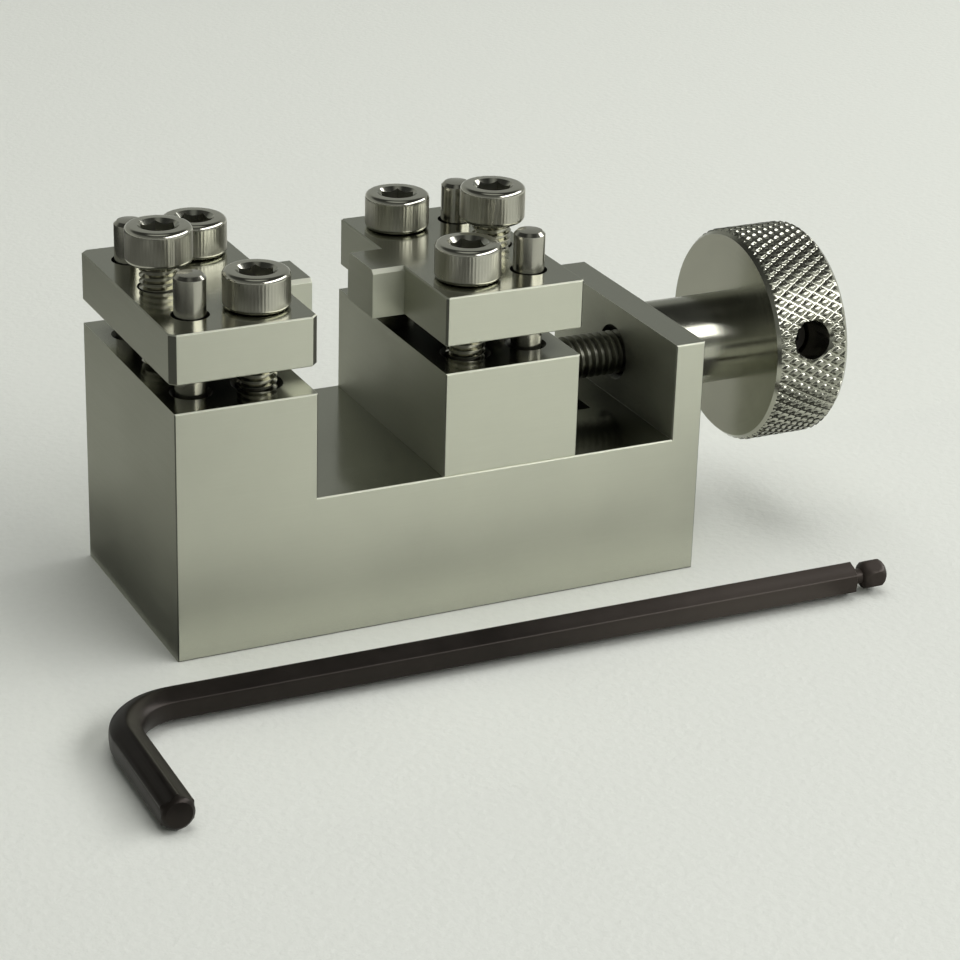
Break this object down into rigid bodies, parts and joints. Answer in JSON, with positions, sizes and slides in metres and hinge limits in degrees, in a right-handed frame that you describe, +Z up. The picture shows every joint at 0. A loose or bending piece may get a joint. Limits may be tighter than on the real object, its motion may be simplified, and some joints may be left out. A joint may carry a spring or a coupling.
{
  "type": "watch bracelet link vice",
  "caption": "Small steel vice that holds a metal watch bracelet on edge between a fixed and a sliding jaw, each with a screwed clamp plate, moved by a knurled knob, with its hex key.",
  "frame": {"origin": "centre of the block's underside, on the surface that the vice stands on", "axes": "+X along the spindle from the fixed jaw to the knob, +Y from the front to the back of the block, +Z up"},
  "size_m": [0.1128, 0.0728, 0.051],
  "materials": {
    "ground_steel": "ground, half bright",
    "bright_steel": "polished",
    "turned_steel": "turned, knurled rim",
    "spindle_steel": "cut thread, oiled",
    "dark_screw": "blackened steel",
    "black_oxide": "blackened steel, satin"
  },
  "bodies": {
    "base": {"base_block": "ground_steel", "left_guide_pin_front": "bright_steel", "left_guide_pin_back": "bright_steel"},
    "left_plate": {"left_clamp_plate": "ground_steel"},
    "left_screw_front": {"left_clamp_screw_front": "bright_steel"},
    "left_screw_back": {"left_clamp_screw_back": "bright_steel"},
    "left_jack": {"left_jack_screw": "bright_steel"},
    "jaw": {"sliding_jaw": "ground_steel", "right_guide_pin_front": "bright_steel", "right_guide_pin_back": "bright_steel", "spindle_retaining_screw": "dark_screw", "hold_down_plate": "ground_steel", "hold_down_screw_inner": "dark_screw", "hold_down_screw_outer": "dark_screw"},
    "right_plate": {"right_clamp_plate": "ground_steel"},
    "right_screw_front": {"right_clamp_screw_front": "bright_steel"},
    "right_screw_back": {"right_clamp_screw_back": "bright_steel"},
    "right_jack": {"right_jack_screw": "bright_steel"},
    "spindle": {"spindle": "spindle_steel", "knob": "turned_steel", "knob_grub_screw": "dark_screw"},
    "hex_key": {"hex_key": "black_oxide"}
  },
  "joints": [
    {"name": "jaw_slide", "type": "slide", "parent": "base", "child": "jaw", "axis": [1, 0, 0], "range_m": [-0.0005, 0.0135]},
    {"name": "knob_turn", "type": "hinge", "parent": "jaw", "child": "spindle", "pos_m": [0.05, 0, 0.0254], "axis": [1, 0, 0], "range_deg": [-190, 4870]},
    {"name": "left_plate_slide", "type": "slide", "parent": "base", "child": "left_plate", "axis": [0, 0, 1], "range_m": [-0.0032, 0.003]},
    {"name": "left_front_screw_turn", "type": "hinge", "parent": "left_plate", "child": "left_screw_front", "pos_m": [-0.0234, -0.0108, 0.043], "axis": [0, 0, 1], "range_deg": [-1450, 1360]},
    {"name": "left_back_screw_turn", "type": "hinge", "parent": "left_plate", "child": "left_screw_back", "pos_m": [-0.0234, 0.0108, 0.043], "axis": [0, 0, 1], "range_deg": [-1450, 1360]},
    {"name": "left_jack_turn", "type": "hinge", "parent": "base", "child": "left_jack", "pos_m": [-0.03195, 0, 0.043], "axis": [0, 0, 1], "range_deg": [-1360, 1450]},
    {"name": "right_plate_slide", "type": "slide", "parent": "jaw", "child": "right_plate", "axis": [0, 0, 1], "range_m": [-0.0032, 0.003]},
    {"name": "right_front_screw_turn", "type": "hinge", "parent": "right_plate", "child": "right_screw_front", "pos_m": [0.00486, -0.0108, 0.043], "axis": [0, 0, 1], "range_deg": [-1450, 1360]},
    {"name": "right_back_screw_turn", "type": "hinge", "parent": "right_plate", "child": "right_screw_back", "pos_m": [0.00486, 0.0108, 0.043], "axis": [0, 0, 1], "range_deg": [-1450, 1360]},
    {"name": "right_jack_turn", "type": "hinge", "parent": "jaw", "child": "right_jack", "pos_m": [0.01341, 0, 0.043], "axis": [0, 0, 1], "range_deg": [-1360, 1450]},
    {"name": "hex_key_lift", "type": "slide", "parent": "base", "child": "hex_key", "axis": [0, 0, 1], "range_m": [0, 0.06]}
  ],
  "couplings": [
    {"joint": "knob_turn", "follows": "jaw_slide", "rad_per_m": 6283.2},
    {"joint": "left_front_screw_turn", "follows": "left_plate_slide", "rad_per_m": 7854},
    {"joint": "left_back_screw_turn", "follows": "left_plate_slide", "rad_per_m": 7854},
    {"joint": "left_jack_turn", "follows": "left_plate_slide", "rad_per_m": -7854},
    {"joint": "right_front_screw_turn", "follows": "right_plate_slide", "rad_per_m": 7854},
    {"joint": "right_back_screw_turn", "follows": "right_plate_slide", "rad_per_m": 7854},
    {"joint": "right_jack_turn", "follows": "right_plate_slide", "rad_per_m": -7854}
  ]
}
